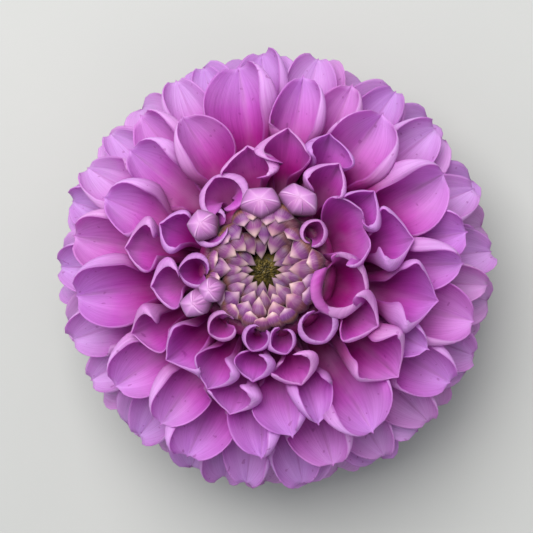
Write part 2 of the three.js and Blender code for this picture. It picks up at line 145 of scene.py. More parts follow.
RIM = [
    (117, 52.0, 44, 12.5, 0, 0), (109, 52.5, 44, 11.0, 0, 0), (93, 53.0, 44, 14.0, 0, 0),
    (78, 53.0, 44, 14.0, 0, 0), (55.5, 52.5, 44, 12.0, 0, 0), (41, 52.0, 44, 14.0, 0, 0),
    (22, 52.5, 44, 14.0, 0, 0), (5, 53.5, 44, 14.0, 0, 0), (356, 52.0, 44, 11.5, 0, 0),
    (337, 53.0, 44, 14.0, 0, 0), (316, 52.5, 44, 14.0, 0, 0), (301, 52.5, 44, 13.0, 0, 0),
    (278, 52.0, 44, 13.5, 0, 0), (263, 52.0, 44, 13.0, 0, 0), (256, 54.0, 44, 13.5, 0, 0),
    (231, 52.0, 44, 14.0, 0, 0), (211, 52.5, 44, 13.0, 0, 0), (199, 52.0, 44, 14.0, 0, 0),
    (179, 52.5, 44, 14.0, 0, 0), (161, 53.0, 44, 13.0, 0, 0), (151, 52.0, 44, 14.0, 0, 0),
    (140, 52.5, 44, 11.0, 0, 0),
]

# The petals of the side and the underside: how many, the direction of the first, the first and last angle
# from straight up, how much closer the first ones stand, and how far the mouth starts inside the tip
BACK_COUNT, BACK_TURN, BACK_FROM, BACK_TO, BACK_CROWDING, BACK_MOUTH = 84, 37, 82, 161, 1.25, 9

# The width of the first and the last of them, and how much steeper they rise
BACK_WIDTHS, BACK_STEEPER = (17, 12), (12, -8)

# How many quads a petal has across and along it
PETAL_GRID, BACK_GRID = (24, 26), (16, 22)

# The power that sets its rows closer towards the tip, and the power by which its margins end before it
ROW_POWER, MARGIN_POWER = 0.85, 1.6

# What differs at random from petal to petal: its rise in degrees, the share by which it is rolled further
# on one side and less on the other, and the share by which it is rolled further or less on both
RISE_VARIES, ONE_SIDE_MORE, ROLL_VARIES = 4, (0.08, 0.28), 0.04

# The share of a petal's width by which the lip of its mouth is off its midrib, and the first and last
# place along the petal where the mouth may start
LIP_SHARE, MOUTH_FROM, MOUTH_TO = 0.75, 0.12, 0.84

# The groove on each side of the midrib: where it is, how broad and how deep, as shares of half the width
GROOVE_AT, GROOVE_BREADTH, GROOVE_DEPTH = 0.4, 0.09, 0.05

# The share of a petal's breadth that its claw, its tube and its mouth add, from the root out
CLAW_ADDS, TUBE_ADDS, MOUTH_ADDS = 0.14, 0.2, 0.66

# Where along a petal its tip starts to bend in, and the share of that bend by which it is drawn back
HOOK_FROM, HOOK_BACK = 0.82, 0.6

# How broad the notch and the beak at a petal's tip are, and how long the beak is
NOTCH_BREADTH, BEAK_BREADTH, BEAK_LENGTH = 0.22, 0.16, 0.6

# Each point of a petal, from this far along it, is pushed back where petals already laid are this close
# behind it, and then lies this far under them. Only petals whose tips are this near each other can touch.
TUCK_FROM, TUCK_DEPTH, TUCK_GAP, TUCK_NEAR = 0.45, 9, 0.7, 32

# Closed buds round the young florets: direction, distance of the middle, breadth across and along
BUDS = [
    (92, 15.8, 9.6, 7.2), (63, 18.2, 9.8, 6.8), (206, 17.2, 6.2, 8.0), (143, 17.4, 7.4, 7.4),
    (201, 12.6, 6.0, 6.0),
]

# A bud's corners, the height of its dome, the share of a sheet that is wall, how deep the wall reaches,
# how far the bud is sunk, and how high its ridges are
BUD_CORNERS, BUD_HEIGHT, BUD_WALL, BUD_DEPTH, BUD_SUNK, BUD_RIDGE = 5, 2.6, 0.3, 5, 0.8, 0.25

# How many points a sheet of a bud has round the bud and up it
BUD_POINTS = (31, 19)

# The sheets of a bud: first and last direction from straight in, how much lower, how far its pole is
# aside, and its tint
BUD_SHEETS = [(76, 284, 0, 0, 0.7), (-108, 24, 0.24, 0.25, 0.95), (-26, 104, 0.12, -0.6, 0.85)]

# Young florets: direction of the tip, distance of the tip from the middle, length, width, and how far the
# base is turned from the tip
YOUNG = [
    (2, 5.7, 7.0, 5.2, 8), (28, 6.8, 5.2, 6.2, -5), (75, 7.9, 5.5, 5.2, 19),
    (88, 5.9, 5.5, 3.4, 0), (104, 7.7, 6.0, 4.8, 5), (132, 6.0, 5.0, 4.4, 0),
    (127, 9.1, 4.0, 5.6, -10), (152, 7.0, 5.8, 5.4, -4), (167, 10.6, 2.3, 5.8, -5),
    (178, 7.4, 5.2, 4.8, 0), (177, 5.0, 4.5, 3.4, 0), (194, 3.6, 6.1, 3.8, -8),
    (235, 3.0, 5.1, 4.0, 8), (222, 7.3, 5.0, 4.8, 5), (205, 9.8, 3.0, 5.6, 8),
    (244, 7.7, 4.6, 4.8, 8), (260, 6.0, 5.5, 3.6, 0), (268, 4.3, 5.1, 2.8, -12),
    (288, 7.3, 5.0, 4.6, -10), (291, 5.6, 3.6, 3.0, 0), (313, 3.9, 6.1, 3.6, -8),
    (314, 7.5, 5.2, 5.4, -4), (330, 10.4, 3.0, 6.4, -6), (231, 10.0, 2.8, 4.6, 8),
    (253, 9.6, 3.2, 4.2, 0), (270, 10.6, 2.6, 4.4, 0), (283, 9.6, 3.2, 4.8, -6),
    (10, 10.0, 3.4, 5.6, 0), (86, 10.3, 4.2, 5.0, -4), (113, 10.9, 3.6, 5.0, 0),
    (4, 3.0, 5.1, 3.0, 0), (337, 2.7, 5.1, 3.0, 6), (45, 2.9, 5.1, 3.2, 0),
    (66, 4.0, 6.1, 4.6, 16), (103, 2.7, 5.1, 3.2, 0), (121, 4.2, 5.1, 3.6, 0),
    (149, 2.3, 5.1, 3.2, 0), (159, 3.7, 5.6, 3.6, 0), (180, 2.5, 4.6, 2.8, 0),
    (20, 4.3, 5.6, 3.8, 0), (350, 4.0, 5.6, 3.8, 0), (208, 2.6, 4.6, 3.0, 0),
    (292, 3.3, 4.6, 3.2, 0), (53, 9.2, 2.6, 5.0, 0), (346, 9.2, 4.2, 5.2, 0),
    (189, 10.0, 2.8, 5.0, 0), (300, 9.9, 3.0, 5.2, 0), (141, 10.2, 2.6, 5.0, 0),
    (216, 5.2, 4.6, 3.8, 0), (246, 5.0, 4.6, 3.6, 0), (72, 11.4, 4.0, 5.0, 0),
    (101, 11.6, 4.2, 5.0, 0), (27, 2.5, 4.6, 2.8, 0), (318, 2.4, 4.6, 2.8, 0),
    (262, 2.4, 4.6, 2.8, 0), (333, 6.6, 5.0, 4.6, 0),
]

# The hollow that the young florets line, as distances from the middle and heights
HOLLOW_AT, HOLLOW_HEIGHT = (2, 5, 8, 11, 15), (59.4, 61.0, 62.5, 63.6, 64.3)

# The first seeds of the young florets' shapes, of their tints, and of the buds of the eye
YOUNG_SEED, YOUNG_TINT_SEED, EYE_SEED = 800, 900, 700

# The green eye: how many buds, how far they spread, the height of the middle one, how much lower the
# outermost stand, and how far those lean in
EYE_COUNT, EYE_SPREAD, EYE_TOP, EYE_DROP, EYE_LEAN = 44, 2.79, 58.5, 0.7, 38

# The bracts under the head: how many, half their width, where they start, how long and how high they are
BRACT_COUNT, BRACT_HALF, BRACT_START, BRACT_LENGTH, BRACT_LEVEL = 8, 3.9, 4, 12.8, 9.2

# How high a bract arches, how far its tip rises, and how far its margins hang there
BRACT_ARCH, BRACT_RISE, BRACT_HANG = 0.84, 0.5, 0.5

# How thick petals, young florets and bracts are, and the share of that at their edges
PETAL_THICKNESS, YOUNG_THICKNESS, BRACT_THICKNESS, EDGE_SHARE = 0.4, 0.3, 0.5, 0.35

# The least height of any point over the ground
GROUND_GAP = 0.05

# The camera looks straight down but for a small tilt: its tilt, its distance from the point it faces, the
# height of that point, and its lens
CAMERA_TILT, CAMERA_DISTANCE, CAMERA_TARGET, CAMERA_LENS = 4.5, 320, 30, 50

# The photograph: its width in pixels, how many of them show a millimetre, and the ball's middle in it
PIXELS, PIXELS_PER_MM, BALL_PIXEL = 533, 3.92, (274.6, 270.6)

# The one light: its place, the point it faces, its size and its power
LIGHT_PLACE, LIGHT_FACES, LIGHT_SIZE, LIGHT_POWER = (-0.12, 0.3, 0.7), (0, 0, 0.04), 0.55, 9.3


# Numbers and directions


def smooth(x):
    """From 0 to 1 as x does, with a soft start and end."""
    x = np.clip(x, 0, 1)
    return x * x * (3 - 2 * x)


def lerp(pair, share):
    return pair[0] + (pair[1] - pair[0]) * share


def unit(vectors):
    """Vectors of length 1 in the same directions."""
    return vectors / np.maximum(np.linalg.norm(vectors, axis=-1, keepdims=True), 1e-9)


def rotated(x, y, angle):
    """Points given as x and y, turned through an angle in radians."""
    return x * np.cos(angle) - y * np.sin(angle), x * np.sin(angle) + y * np.cos(angle)


def around(curve_points, azimuth):
    """Points given as [radius, height] stood up in space at an azimuth in radians."""
    radius, height = curve_points[..., 0], curve_points[..., 1]
    return np.stack([radius * np.cos(azimuth), radius * np.sin(azimuth), height + 0 * azimuth], -1)


def bezier(controls, along):
    """Points along a cubic curve with four control points."""
    first, second, third, last = controls
    v = np.asarray(along)[..., None]
    w = 1 - v
    return w**3 * first + 3 * w * w * v * second + 3 * w * v * v * third + v**3 * last


def angle_of(tip_radius):
    """The angle from straight up at which the ball is this far from its axis."""
    return math.degrees(math.asin(min(tip_radius / BALL_RADIUS, 1)))


def ball_point(angle):
    """The point of the ball at an angle from straight up, the slope there and the way out, each as
    [radius, height]."""
    high = BALL_UP if angle < 90 else BALL_DOWN
    sine, cosine = math.sin(math.radians(angle)), math.cos(math.radians(angle))
    point = np.array([BALL_RADIUS * sine, BALL_MIDDLE + high * cosine])
    slope = unit(np.array([BALL_RADIUS * cosine, -high * sine]))
    return point, slope, np.array([-slope[1], slope[0]])


# The midrib of a blade


def midrib(kind, tip_angle, rise):
    """The four control points, as [radius, height], of a petal's midrib from the heart to its tip."""
    tip, slope, outward = ball_point(tip_angle)
    root_angle = math.radians(np.interp(tip_angle, BALL_ANGLES, HEART_ANGLES))
    root_height = HEART_MIDDLE + HEART_HALF * math.cos(root_angle)
    root = np.array([HEART_RADIUS * math.sin(root_angle), root_height])
    length = np.linalg.norm(tip - root)
    fanned = unit(np.array([root[0], root[1] - FAN_LEVEL]))
    leaving = fanned * (1 - LEAVING_STRAIGHT) + (tip - root) / length * LEAVING_STRAIGHT
    arriving = math.cos(math.radians(rise)) * slope + math.sin(math.radians(rise)) * outward
    return root, root + LEAVING_PULL * length * leaving, tip - kind["pull"] * length * arriving, tip


def rib_frame(controls, azimuth, lean, along):
    """The place on a midrib, with the directions along it, across it and out of its face."""

    def heading(v):
        return np.radians(azimuth - lean * (1 - smooth(v)))

    def at(v):
        return around(bezier(controls, v), heading(v))

    step = 1e-3
    ahead = unit(at(along + step) - at(along - step))
    turn = heading(along)
    side = np.stack([-np.sin(turn), np.cos(turn), 0 * turn], -1)
    across = unit(side - (side * ahead).sum(-1, keepdims=True) * ahead)
    return at(along), ahead, across, np.cross(ahead, across)


def mouth_start(controls, width, inner):
    """Where along its midrib a rolled petal opens, so that its mouth starts this far from the middle."""
    along = np.linspace(MOUTH_FROM, MOUTH_TO, 73)
    rib = bezier(controls, along)
    ahead = unit(np.gradient(rib, axis=0))
    lip = rib[:, 0] - LIP_SHARE * width * ahead[:, 1]
    return along[np.argmin(np.abs(lip - inner))]


# The form of a petal


def rolled_section(across, roll, curl, keel, steps=48):
    """A cross-section that turns through roll radians on each side, more of it near the margins with more
    curl. It starts with the slope of its keel, and is 1 broad on each side where it is broadest."""
    share = np.linspace(0, 1, steps + 1)
    heading = keel[..., None] + (roll - keel)[..., None] * ((1 - curl) * share + curl * share**4)
    x = np.cumsum((np.cos(heading[..., 1:]) + np.cos(heading[..., :-1])) / 2, -1) / steps
    y = np.cumsum((np.sin(heading[..., 1:]) + np.sin(heading[..., :-1])) / 2, -1) / steps
    x = np.concatenate([np.zeros_like(x[..., :1]), x], -1)
    y = np.concatenate([np.zeros_like(y[..., :1]), y], -1)
    broad = x.max(-1)
    place = np.abs(across) * steps
    low = np.minimum(place.astype(int), steps - 1)
    part = place - low

    def pick(values):
        here = np.take_along_axis(values, low[..., None], -1)[..., 0]
        there = np.take_along_axis(values, low[..., None] + 1, -1)[..., 0]
        return here * (1 - part) + there * part

    return np.sign(across) * pick(x) / broad, pick(y) / broad


def outline(kind, along, start):
    """The share of a petal's breadth along it: a narrow claw, a flare at the mouth and a pointed end."""
    past = np.clip((along - kind["widest"]) / (1 - kind["widest"]), 0, 1)
    closing = kind["tip"] + (1 - kind["tip"]) * (1 - past**2) ** kind["point"]
    flare = max(start - 0.2, 0.05)
    tube = CLAW_ADDS + TUBE_ADDS * smooth(along / flare)
    widening = tube + MOUTH_ADDS * smooth((along - flare) / (kind["widest"] - flare))
    return np.where(past > 0, closing, widening)


def rolled(kind, along, start, uneven):
    """The angle in radians through which each half of a petal is rolled along it."""
    middle = start + 0.55 * (kind["widest"] - start)
    opened = smooth((along - start) / max(middle - start, 0.05))
    ended = smooth((along - middle) / (1 - middle))
    angle = kind["root"] + (kind["mouth"] * uneven - kind["root"]) * opened
    return np.radians(angle + (kind["end"] * uneven - angle) * ended)


def pleats(across, along, half):
    """A shallow groove on each side of the midrib, which fades towards the root."""
    groove = np.exp(-(((np.abs(across) - GROOVE_AT) / GROOVE_BREADTH) ** 2))
    return -GROOVE_DEPTH * half * groove * smooth((along - 0.25) / 0.35)


def ripple(across, along, draw):
    """Soft waves near the margins."""
    height = draw.uniform(0.25, 0.5) * np.abs(across) ** 3 * smooth((along - 0.5) / 0.4)
    return height * np.sin(along * draw.uniform(14, 20) + draw.uniform(0, 6) + 1.5 * across)


def petal_section(kind, across, along, start, half, draw):
    """How far each point of a petal lies aside of its midrib, and out from it. One half is rolled more."""
    more = draw.choice((-1, 1)) * draw.uniform(*ONE_SIDE_MORE)
    uneven = 1 + more * np.sign(across) + draw.uniform(-ROLL_VARIES, ROLL_VARIES)
    keel = math.radians(kind["keel"]) * smooth((along - start + 0.1) / 0.5)
    x, y = rolled_section(across, rolled(kind, along, start, uneven), kind["curl"], keel)
    room = kind["press"] + (kind["room"] - kind["press"]) * smooth((along - start + 0.22) / 0.3)
    pressed = room * np.tanh(y * half / room)
    return x * half, pressed + pleats(across, along, half) + ripple(across, along, draw)


def petal(laid, kind, azimuth, tip_angle, inner, width, lean, roll, seed, steeper=0, grid=PETAL_GRID):
    """The middle surface of one petal as a grid of points, with the place of each across and along it.
    It is tucked under the petals already laid, and is laid itself."""
    draw = random.Random(seed)
    controls = midrib(kind, tip_angle, kind["rise"] + steeper + draw.uniform(-RISE_VARIES, RISE_VARIES))
    start = mouth_start(controls, width, inner)
    rows = np.linspace(0, 1, grid[1] + 1) ** ROW_POWER
    across, v = np.meshgrid(np.linspace(-1, 1, grid[0] + 1), rows)
    notch = kind["notch"] * np.exp(-((across / NOTCH_BREADTH) ** 2))
    along = v * (1 - notch - (1 - kind["rim"]) * np.abs(across) ** MARGIN_POWER)
    place, ahead, side, out = rib_frame(controls, azimuth, lean, along)
    hook = kind["hook"] * np.clip((along - HOOK_FROM) / (1 - HOOK_FROM), 0, 1) ** 2
    place = place + hook[..., None] * (out - HOOK_BACK * ahead)
    half = width / 2 * outline(kind, along, start)
    x, y = petal_section(kind, across, along, start, half, draw)
    aside, lift = rotated(x, y, np.radians(roll) * smooth(along))
    beak = BEAK_LENGTH * np.exp(-((across / BEAK_BREADTH) ** 2)) * smooth((v - 0.9) / 0.1)
    beak = beak * (kind["notch"] == 0)
    points = place + aside[..., None] * side + lift[..., None] * out + beak[..., None] * ahead
    points = tucked(points, out, along, laid)
    lay(points, laid)
    return points, across, along


def tucked(points, outward, along, laid):
    """A petal's points, pushed back where they would come through the petals laid over it."""
    tip = points[-1, points.shape[1] // 2]
    over = [tree for other_tip, tree in laid if np.linalg.norm(other_tip - tip) < TUCK_NEAR]
    push = np.zeros(along.shape)
    for row, column in np.argwhere(along > TUCK_FROM):
        toward = Vector(outward[row, column])
        behind = Vector(points[row, column]) - TUCK_DEPTH * toward
        for tree in over:
            far = tree.ray_cast(behind, toward, TUCK_DEPTH)[3]
            if far is not None:
                push[row, column] = max(push[row, column], TUCK_DEPTH - far + TUCK_GAP)
    for _ in range(3):
        padded = np.pad(push, 1, "edge")
        beside = padded[:-2, 1:-1] + padded[2:, 1:-1] + padded[1:-1, :-2] + padded[1:-1, 2:]
        push = np.maximum(push, beside / 4)
    return points - push[..., None] * outward


def lay(points, laid):
    """Add a petal to those that the next ones are tucked under."""
    rows, columns = points.shape[:2]
    quads = grid_faces(rows, columns, 0, False)
    tree = BVHTree.FromPolygons(points.reshape(-1, 3).tolist(), quads.tolist())
    laid.append((points[-1, columns // 2], tree))


# The petals, each as (points, across, along, age, tint)


def tip_distance(given):
    return given[1]


def petal_sheets(laid, kind, petals):
    """The petals of one kind, from the middle out."""
    sheets = []
    for number, given in enumerate(sorted(petals, key=tip_distance)):
        azimuth, tip_radius, inner, width, lean, roll = given
        tip_angle = angle_of(tip_radius) + kind["lower"]
        seed = kind["seed"] + number
        grid = petal(laid, kind, azimuth, tip_angle, inner, width, lean, roll, seed)
        sheets.append((*grid, kind["age"], random.Random(seed).random()))
    return sheets


def back_sheets(laid):
    """The petals of the side and the underside, in a spiral of golden angles."""
    sheets = []
    kind = KINDS["back"]
    for number in range(BACK_COUNT):
        share = (number + 0.5) / BACK_COUNT
        azimuth = BACK_TURN + number * GOLDEN_ANGLE
        tip_angle = lerp((BACK_FROM, BACK_TO), share**BACK_CROWDING)
        inner = BALL_RADIUS * math.sin(math.radians(tip_angle)) - BACK_MOUTH
        width, steeper = lerp(BACK_WIDTHS, share), lerp(BACK_STEEPER, share)
        seed = kind["seed"] + number
        grid = petal(laid, kind, azimuth, tip_angle, inner, width, 0, 0, seed, steeper, BACK_GRID)
        sheets.append((*grid, kind["age"], random.Random(seed).random()))
    return sheets


def open_petals():
    """Every open petal, as named pieces from the middle out. Each petal is laid under those before it."""
    laid = []
    tubes = petal_sheets(laid, KINDS["tube"], TUBES)
    tubes += petal_sheets(laid, KINDS["trumpet"], TRUMPETS)
    tubes += petal_sheets(laid, KINDS["heart"], HEARTS)
    return [
        ("tube_petals", tubes),
        ("cup_petals", petal_sheets(laid, KINDS["cup"], CUPS)),
        ("boat_petals", petal_sheets(laid, KINDS["boat"], BOATS)),
        ("rim_petals", petal_sheets(laid, KINDS["rim"], RIM)),
        ("back_petals", back_sheets(laid)),
    ]


# The young florets and the closed buds, as sheets too


def young_half(along, width):
    """Half the breadth of a young floret along it."""
    past = np.clip((along - 0.7) / 0.3, 0, 1)
    closing = 0.04 + 0.96 * (1 - past**1.7) ** 0.85
    widening = 0.6 + 0.4 * smooth(along / 0.7)
    return 0.6 * width * np.where(past > 0, closing, widening)


def young_sheet(azimuth, tip_radius, length, width, lean, seed, columns=14, rows=20):
    """The middle surface of a closed young floret, bent in over the middle so that its back shows."""
    draw = random.Random(seed)
    shoulder = tip_radius + length
    low, high = np.interp((tip_radius, shoulder), HOLLOW_AT, HOLLOW_HEIGHT)
    controls = (
        np.array([shoulder - 0.5, high - 8]),
        np.array([shoulder + 2.6, high - 1.4]),
        np.array([shoulder - 0.1 * length, high + draw.uniform(0.12, 0.22) * length]),
        np.array([tip_radius, low + draw.uniform(0.3, 0.7)]),
    )
    across, v = np.meshgrid(np.linspace(-1, 1, columns + 1), np.linspace(0, 1, rows + 1))
    along = v * (1 - 0.08 * across * across)
    place, _, side, out = rib_frame(controls, azimuth, lean, along)
    half = young_half(along, width)
    bend = math.radians(draw.uniform(60, 76))
    arch = 0.95 * half * (1 - np.cos(bend * across)) / math.sin(bend)
    fold = 0.2 * half * np.sqrt(across * across + 0.01)
    x, y = half * np.sin(bend * across) / math.sin(bend), arch + fold
    aside, sunk = rotated(x, y, math.radians(draw.uniform(-16, 16)) * smooth(along))
    return place + aside[..., None] * side + sunk[..., None] * out, across, along


def young_sheets():
    """The young florets. Their age grows with the distance from the middle."""
    sheets = []
    for number, (azimuth, tip_radius, length, width, lean) in enumerate(YOUNG):
        grid = young_sheet(azimuth, tip_radius, length, width, lean, YOUNG_SEED + number)
        tint = random.Random(YOUNG_TINT_SEED + number).random()
        sheets.append((*grid, smooth(tip_radius / 10), tint))
    return sheets


def bud_sheet(azimuth, distance, broad, long, first, last, lower, aside):
    """One of the folded sheets of a closed bud: part of a low dome with ridges, and the wall below it."""
    azimuth = math.radians(azimuth)
    point, slope, outward = ball_point(angle_of(distance))
    middle, ahead, out = (around(part, azimuth) for part in (point, -slope, outward))
    side = np.array([-math.sin(azimuth), math.cos(azimuth), 0])
    columns, rows = BUD_POINTS
    turn, v = np.meshgrid(np.radians(np.linspace(first, last, columns)), np.linspace(0, 1, rows))
    wall = smooth(v / BUD_WALL)
    rise = np.clip((v - BUD_WALL) / (1 - BUD_WALL), 0, 1) * math.pi / 2
    sector = 2 * math.pi / BUD_CORNERS
    from_corner = np.abs((turn + sector / 2) % sector - sector / 2) / (sector / 2)
    straight = math.cos(sector / 2) / np.cos(sector / 2 * (1 - from_corner))
    reach = (0.7 + 0.3 * wall) * np.cos(rise) * (0.3 + 0.7 * straight)
    dome = BUD_HEIGHT * np.sin(rise) ** 0.8 + BUD_RIDGE * (1 - from_corner) ** 1.5 * np.sin(2 * rise)
    height = dome - lower * np.cos(rise) ** 0.3 - BUD_DEPTH * (1 - wall) - BUD_SUNK
    broadside = broad / 2 * np.sin(turn) * reach + aside * np.sin(rise)
    lengthwise = long / 2 * np.cos(turn) * reach
    points = middle + broadside[..., None] * side + lengthwise[..., None] * ahead + height[..., None] * out
    # The across mark is high along the ridges, where the bud's material paints a pale highlight, and at
    # the edges, where it draws the thin lip
    at_edge = np.minimum(1.25 * np.abs(np.linspace(-1, 1, columns)) ** 7, 1)
    return points, np.maximum(0.7 * (1 - from_corner) ** 0.8, at_edge), 0.5 + 0.45 * v


def bud_sheets():
    """The closed buds, each of three sheets."""
    sheets = []
    for bud in BUDS:
        for first, last, lower, aside, tint in BUD_SHEETS:
            sheets.append((*bud_sheet(*bud, first, last, lower, aside), 1.0, tint))
    return sheets


# Meshes


def grid_faces(rows, columns, first, flipped):
    """The quads of a grid of points, numbered from first."""
    i = np.arange(rows * columns).reshape(rows, columns) + first
    quads = np.stack([i[:-1, :-1], i[:-1, 1:], i[1:, 1:], i[1:, :-1]], -1).reshape(-1, 4)
    return quads[:, ::-1] if flipped else quads


def grid_edge(rows, columns):
    """The numbers of the points round the edge of a grid, in order."""
    i = np.arange(rows * columns).reshape(rows, columns)
    return np.concatenate([i[0, :-1], i[:-1, -1], i[-1, :0:-1], i[:0:-1, 0]])


def shell(points, thickness):
    """Two faces on both sides of a surface, thinner at the edge, as one closed skin."""
    rows, columns = points.shape[:2]
    normal = unit(np.cross(np.gradient(points, axis=1), np.gradient(points, axis=0)))
    share = np.ones((rows, columns))
    share[:, 0] = share[:, -1] = share[-1, :] = EDGE_SHARE
    offset = normal * (share * thickness / 2)[..., None]
    count = rows * columns
    vertices = np.concatenate([(points + offset).reshape(-1, 3), (points - offset).reshape(-1, 3)])
    ring = grid_edge(rows, columns)
    after = np.roll(ring, -1)
    wall = np.stack([ring, ring + count, after + count, after], -1)
    front, rear = grid_faces(rows, columns, 0, False), grid_faces(rows, columns, count, True)
    return vertices, np.concatenate([front, rear, wall])


def piece_of(name, sheets, thickness, material, slot, node):
    """One mesh of many blades. Each point is marked with its place, and with its blade's age and tint."""
    vertices, faces = [], []
    marks = {"across": [], "along": [], "reverse": [], "age": [], "tint": []}
    start = 0
    for points, across, along, age, tint in sheets:
        blade, quads = shell(points, thickness)
        vertices.append(blade)
        faces.append(quads + start)
        start += len(blade)
        count = across.size
        marks["across"].append(np.tile(across.ravel(), 2))
        marks["along"].append(np.tile(along.ravel(), 2))
        marks["reverse"].append(np.repeat([1.0, 0.0], count))
        marks["age"].append(np.full(2 * count, age))
        marks["tint"].append(np.full(2 * count, tint))
    values = {mark: np.concatenate(lists) for mark, lists in marks.items()}
    finished(name, np.concatenate(vertices), np.concatenate(faces), material, slot, node, values)


def finished(name, vertices, faces, material, slot, node, marks=None):
    """A smooth mesh in place of a CAD node, held over the ground and moved to the bloom's own axis."""
    vertices = vertices.copy()
    vertices[:, 2] = np.maximum(vertices[:, 2], GROUND_GAP)
    vertices[:, :2] += AXIS
    mesh = bpy.data.meshes.new(name)
    mesh.from_pydata((vertices * MM).tolist(), [], [list(map(int, face)) for face in faces])
    for mark, values in (marks or {}).items():
        attribute = mesh.attributes.new(mark, "FLOAT", "POINT")
        attribute.data.foreach_set("value", values.astype(np.float32))
    mesh.shade_smooth()
    mesh.materials.append(material)
    made = bpy.data.objects.new(name, mesh)
    bpy.context.scene.collection.objects.link(made)
    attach(made, "root")
    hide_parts(node)


def lathed(profile, sides, ribs=0, rib_depth=0.0):
    """A closed skin turned about the axis from [radius, height] pairs, which start and end on the axis."""
    turn = np.linspace(0, 2 * math.pi, sides, endpoint=False)
    wave = 1 + rib_depth * np.cos(ribs * turn)
    rings = [
        np.stack([r * wave * np.cos(turn), r * wave * np.sin(turn), np.full(sides, z)], -1)
        for r, z in profile[1:-1]
    ]
    ends = [[0, 0, profile[0][1]], [0, 0, profile[-1][1]]]
    vertices = np.concatenate([np.array(ends, float), *rings])
    faces = []
    for ring in range(len(rings) - 1):
        for i in range(sides):
            a, b = 2 + ring * sides + i, 2 + ring * sides + (i + 1) % sides
            faces.append((a, b, b + sides, a + sides))
    last = 2 + (len(rings) - 1) * sides
    faces += [(0, 2 + (i + 1) % sides, 2 + i) for i in range(sides)]
    faces += [(1, last + i, last + (i + 1) % sides) for i in range(sides)]
    return vertices, faces


def joined(parts):
    """Several (vertices, faces) as one."""
    vertices, faces, start = [], [], 0
    for some_vertices, some_faces in parts:
        vertices.append(some_vertices)
        faces += [tuple(int(i) + start for i in face) for face in some_faces]
        start += len(some_vertices)
    return np.concatenate(vertices), faces


# The eye, the head and the green parts


def eye_buds():
    """Small pointed green buds that lean in over a low knob."""
    knob = [(0, 54.5), (4.4, 54.5), (4.6, 56.2), (4.0, 57.4), (2.8, 58.2), (1.3, 58.7), (0, 58.9)]
    parts = [lathed(knob, 24)]
    for number in range(EYE_COUNT):
        draw = random.Random(EYE_SEED + number)
        out = math.sqrt((number + 0.5) / EYE_COUNT)
        size = 0.36 + 0.14 * out
        bud = [(0, -0.9), (size * 0.8, -0.7), (size, 0), (size * 0.75, 0.6), (size * 0.3, 1.1), (0, 1.35)]
        vertices, faces = lathed(bud, 8)
        lean = Matrix.Rotation(math.radians(-EYE_LEAN * out + draw.uniform(-10, 10)), 3, "Y")
        spin = Matrix.Rotation(math.radians(number * GOLDEN_ANGLE), 3, "Z")
        vertices = vertices @ np.array(lean).T
        vertices += np.array([EYE_SPREAD * out, 0, EYE_TOP - EYE_DROP * out * out])
        parts.append((vertices @ np.array(spin).T, faces))
    return joined(parts)


def head_skin():
    """The fleshy head that the florets stand on, with a collar round the young florets."""
    side = [(9, 11.2), (14, 14), (17, 20), (16, 28), (14.5, 38), (15.5, 46), (16.6, 51), (16.4, 55)]
    collar = [(15.6, 56.6), (14.4, 57.2), (13.0, 57.0), (12.0, 55.6), (10, 55), (5, 54)]
    return lathed([(0, 11.2), *side, *collar, (0, 54)], 48)


def bract_sheets():
    """Green bracts that spread under the head."""
    sheets = []
    across, along = np.meshgrid(np.linspace(-1, 1, 11), np.linspace(0, 1, 15))
    half = BRACT_HALF * np.sin(math.pi * np.clip(0.14 + 0.86 * along, 0, 1)) ** 0.7
    radius = BRACT_START + BRACT_LENGTH * along
    arch = BRACT_ARCH * np.sin(math.pi * along)
    height = BRACT_LEVEL + arch - BRACT_HANG * np.abs(across) * along + BRACT_RISE * along
    for number in range(BRACT_COUNT):
        x, y = rotated(radius, half * across, 2 * math.pi * number / BRACT_COUNT)
        sheets.append((np.stack([x, y, height], -1), across, along, 0.0, number / BRACT_COUNT))
    return sheets


def stem_and_cup():
    """The cut stem and the cup that it opens into."""
    stem = [(0, 1.7), (1.0, 1.9), (2.4, 1.6), (3.1, 1.75), (3.2, 2.3), (3.1, 5), (3.4, 7), (5.4, 8.2)]
    cup = [(8.6, 9.4), (9.1, 10.4), (8.9, 11.4), (0, 11.4)]
    return lathed(stem + cup, 40, ribs=10, rib_depth=0.02)


# Materials


